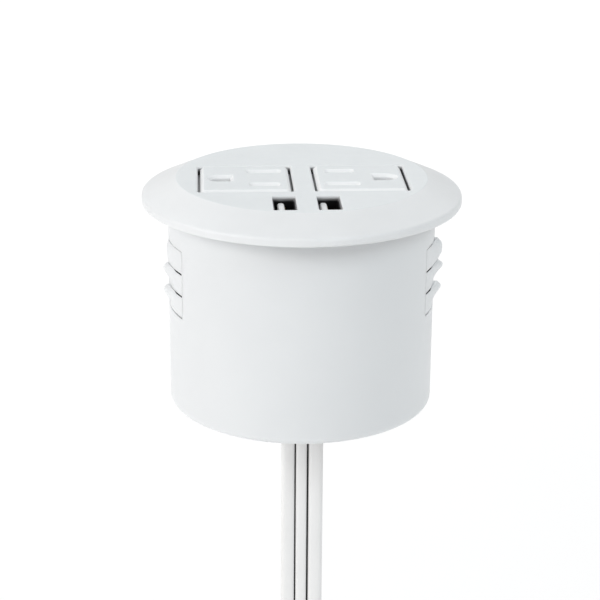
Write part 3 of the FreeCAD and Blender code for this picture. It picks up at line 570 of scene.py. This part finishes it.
def winding_tape():
    """Yellow polyester tape wound in turns over the coil."""
    p = Painter("winding_tape")
    turns = p.bands(420)
    p.colour(p.mix(turns, (0.62, 0.40, 0.03), (0.78, 0.56, 0.07)))
    p.roughness(p.spread(p.noise(260, 2), 0.2, 0.32))
    p.bump(turns, 0.06 * MM, 0.6, 0.15 * MM)
    p.set(IOR=1.55)
    return p.material


def shrink_sleeve():
    """A capacitor's dark shrink sleeve, glossy and faintly rippled."""
    p = Painter("can")
    ripple = p.noise(420, 2, (1, 1, 0.25))
    p.colour(p.mix(p.spread(ripple, 0, 1), (0.012, 0.014, 0.028), (0.03, 0.033, 0.055)))
    p.roughness(p.spread(p.noise(300, 2), 0.2, 0.33))
    p.bump(ripple, 0.05 * MM, 0.5, 0.2 * MM)
    p.set(IOR=1.5)
    return p.material


def epoxy():
    """Black moulded epoxy of a chip, matt and finely speckled."""
    p = Painter("chip")
    speckle = p.noise(1800, 3)
    p.colour(p.mix(p.spread(speckle, 0, 1), (0.012, 0.012, 0.013), (0.028, 0.028, 0.03)))
    p.roughness(p.spread(speckle, 0.5, 0.7))
    p.bump(speckle, 0.015 * MM, 0.5, 0.12 * MM)
    return p.material


def strap_weave():
    """The cord's tie: a pale woven strap with a fuzz of fine loops."""
    p = Painter("tie")
    weave = p.noise(1500, 2, (1, 0.35, 0.35))
    fuzz = p.noise(3200, 4)
    p.colour(p.mix(p.spread(weave, 0, 1), (0.50, 0.50, 0.495), (0.72, 0.72, 0.71)))
    p.roughness(p.spread(fuzz, 0.8, 0.95))
    p.bump(p.mean(weave, fuzz), 0.16 * MM, 0.8, 0.3 * MM)
    p.set(Sheen_Weight=0.35, Sheen_Roughness=0.5)
    return p.material


def cord_jacket():
    """Extruded soft PVC: a fine even grain, and painted shade that is nearly black at the bottom of the
    grooves.
    """
    p = Painter("cord_jacket")
    cloud = p.spread(p.noise(60, 3), 0, 1)
    face = p.mix(cloud, (0.742, 0.740, 0.734), (0.775, 0.771, 0.765))
    deep = p.spread(p.attribute("groove"), 0, 1, 0.3, 1.0)
    p.colour(p.mix(deep, face, GROOVE_SHADE))
    p.roughness(p.spread(p.noise(500, 2), 0.42, 0.55))
    p.bump(p.noise(1500, 2), 0.02 * MM, 0.3)
    p.set(IOR=1.5)
    return p.material


def fin_plastic(root):
    """The shell's plastic, one material for all fins, with painted shade on the slits' faces near the
    roots.
    """
    if "fin_plastic" in bpy.data.materials:
        return bpy.data.materials["fin_plastic"]
    p = Painter("fin_plastic")
    cloud = p.spread(p.noise(45, 3), 0, 1)
    near = p.spread(p.axis("Y"), 1, 0, root + DARK_END, root + DARK_END + DARK_FADE)
    deep = p.product(p.attribute("slit"), near)
    p.colour(p.mix(deep, p.mix(cloud, WHITE_DARK, WHITE), SLIT_SHADE))
    satin(p, (0.36, 0.46), None, 380, 0.012 * MM)
    p.let_light_in()
    return p.material


def assign(material, *names):
    """Gives CAD nodes a material in their own slot."""
    for name in names:
        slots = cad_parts[name].data.materials
        slots.clear()
        slots.append(material)


def sided(*names):
    """Each name with its left and right endings."""
    return [f"{name}_{side}" for name in names for side in ("left", "right")]


def paint_outside():
    """The mouldings that show in every view."""
    assign(moulded("white_shell", WHITE, WHITE_DARK), "housing_cup")
    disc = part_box("top_cover")[1].z
    assign(flange(disc), "top_cover")
    assign(outlet_face(disc), *sided("receptacle_face"))
    assign(moulded("outlet_body", (0.30, 0.30, 0.305), (0.26, 0.26, 0.265)), *sided("receptacle_base"))
    assign(moulded("shutter", (0.7, 0.71, 0.71), (0.68, 0.69, 0.69)), *sided("shutter"))
    relief = moulded("strain_relief", (0.70, 0.705, 0.705), (0.68, 0.685, 0.685))
    assign(relief, "strain_relief")
    assign(moulded("plug", (0.72, 0.725, 0.725), (0.70, 0.705, 0.705)), "plug_body")
    plating = metal("plug_metal", (0.72, 0.68, 0.58), (0.60, 0.56, 0.47), (0.2, 0.34))
    assign(plating, "plug_blades", "plug_ground_pin")
    assign(strap_weave(), "cord_tie")
    assign(metal("screw_steel", (0.62, 0.62, 0.63), (0.5, 0.5, 0.51), (0.25, 0.42)),
           "receptacle_screws", "board_screws", "housing_screws", "clamp_screws")


def paint_usb():
    """The two charging ports: plated shells with painted shade inside below the mouth, and pale tongues
    with painted shade low down.
    """
    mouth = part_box("usb_shell_left")[1].z - 0.3 * MM
    # Below the mouth the shell is painted near black: painted shade inside the port.
    shell = layered("usb_shell", (0.30, 0.30, 0.305), (0.010, 0.010, 0.011), mouth, 0.5 * MM,
                    rough=(0.3, 0.45), bevel=0.05 * MM, metallic=0.5)
    assign(shell, *sided("usb_shell"))
    tongue_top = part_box("usb_tongue_left")[1].z - 2.5 * MM
    # The tongue is painted near black low down: painted shade deep in the port.
    tongue = layered("usb_tongue", (0.78, 0.785, 0.785), (0.03, 0.03, 0.03), tongue_top, 3.0 * MM)
    assign(tongue, *sided("usb_tongue"))


def paint_inside():
    """What the open slots, the fin windows and the exported model let be seen."""
    brass = metal("contact_brass", (0.76, 0.58, 0.28), (0.62, 0.45, 0.2), (0.22, 0.38))
    assign(brass, *sided("hot_contact", "neutral_contact", "ground_contact"), "usb_contacts")
    assign(metal("spring_steel", (0.6, 0.6, 0.61), (0.5, 0.5, 0.5), (0.2, 0.35)), *sided("shutter_spring"))
    assign(solder_mask(), "usb_board")
    assign(ferrite(), "transformer_core", "inductor")
    assign(winding_tape(), "transformer_winding")
    assign(shrink_sleeve(), "input_capacitor", "output_capacitors")
    assign(epoxy(), "bridge_rectifier", "charger_chip")
    assign(insulation("wire_black", (0.02, 0.02, 0.02), (0.012, 0.012, 0.012)), "hot_wire")
    assign(insulation("wire_white", (0.78, 0.78, 0.77), (0.70, 0.70, 0.69)), "neutral_wire")
    assign(insulation("wire_green", (0.02, 0.22, 0.05), (0.015, 0.15, 0.035)), "ground_wire")
    assign(metal("splice", (0.66, 0.65, 0.62), (0.52, 0.51, 0.48), (0.3, 0.45)), "wire_splices")
    assign(moulded("clamp", (0.10, 0.10, 0.105), (0.07, 0.07, 0.073)), "cord_clamp")


# Studio -------------------------------------------------------------------------------------

FLOOR_Z = -0.73
FLOOR_REACH = 14.0
SURROUND = 0.61
WARM = (1.0, 0.99, 0.985)
COOL = (0.88, 0.96, 1.0)


def add_floor():
    """A plain pale floor at desk height below the grommet."""
    mesh = bpy.data.meshes.new("floor")
    signs = [(-1, -1), (1, -1), (1, 1), (-1, 1)]
    corners = [(x * FLOOR_REACH, y * FLOOR_REACH, FLOOR_Z) for x, y in signs]
    mesh.from_pydata(corners, [], [(0, 1, 2, 3)])
    floor = bpy.data.objects.new("floor", mesh)
    bpy.context.scene.collection.objects.link(floor)
    p = Painter("pale_floor")
    p.colour(p.mix(p.noise(1.5, 2), (0.975, 0.975, 0.975), (0.99, 0.99, 0.99)))
    p.set(Roughness=0.9)
    mesh.materials.append(p.material)


def add_light(name, place, target, size, power, colour=(1, 1, 1)):
    """A square soft light that points at a target."""
    data = bpy.data.lights.new(name, "AREA")
    data.color = colour
    data.size = size
    data.energy = power
    light = bpy.data.objects.new(name, data)
    bpy.context.scene.collection.objects.link(light)
    light.location = place
    light.rotation_euler = (Vector(target) - Vector(place)).to_track_quat("-Z", "Y").to_euler()


def add_studio():
    """A white surround, soft lights on the left and at the front, and a wash on the far floor."""
    scene = bpy.context.scene
    scene.view_settings.view_transform = "Standard"
    world = bpy.data.worlds.new("studio")
    scene.world = world
    world.use_nodes = True
    background = world.node_tree.nodes["Background"]
    background.inputs["Color"].default_value = (1, 1, 1, 1)
    background.inputs["Strength"].default_value = SURROUND
    add_light("left", (-2.0, -0.5, 0.5), (0, 0, -0.03), 1.0, 8.5, WARM)
    add_light("key", (-1.6, -1.2, 1.0), (0, 0, 0), 0.8, 16.5, WARM)
    add_light("right", (1.3, -1.3, 1.5), (0, 0, 0), 1.0, 15.5, COOL)
    add_light("floor_wash", (0, 4.5, 2.5), (0, 4.5, FLOOR_Z), 5.0, 96)


def add_camera():
    """The camera at the photograph's viewing angle."""
    data = bpy.data.cameras.new("camera")
    data.lens = CAMERA_LENS
    data.sensor_width = 36
    camera = bpy.data.objects.new("camera", data)
    bpy.context.scene.collection.objects.link(camera)
    level = math.cos(CAMERA_ELEVATION)
    place = Vector((
        -level * math.sin(CAMERA_AZIMUTH), -level * math.cos(CAMERA_AZIMUTH), math.sin(CAMERA_ELEVATION),
    )) * CAMERA_DISTANCE
    turn = (
        Matrix.Rotation(CAMERA_HEADING, 4, "Z")
        @ Matrix.Rotation(CAMERA_TILT, 4, "X")
        @ Matrix.Rotation(CAMERA_ROLL, 4, "Z")
    )
    camera.matrix_world = Matrix.Translation(place) @ turn
    bpy.context.scene.camera = camera


add_camera()
add_cord()
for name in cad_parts:
    if name.startswith("grip_fin"):
        add_fin_skin(name)
paint_outside()
paint_usb()
paint_inside()
add_spring("right")
add_spring("left")
add_floor()
add_studio()
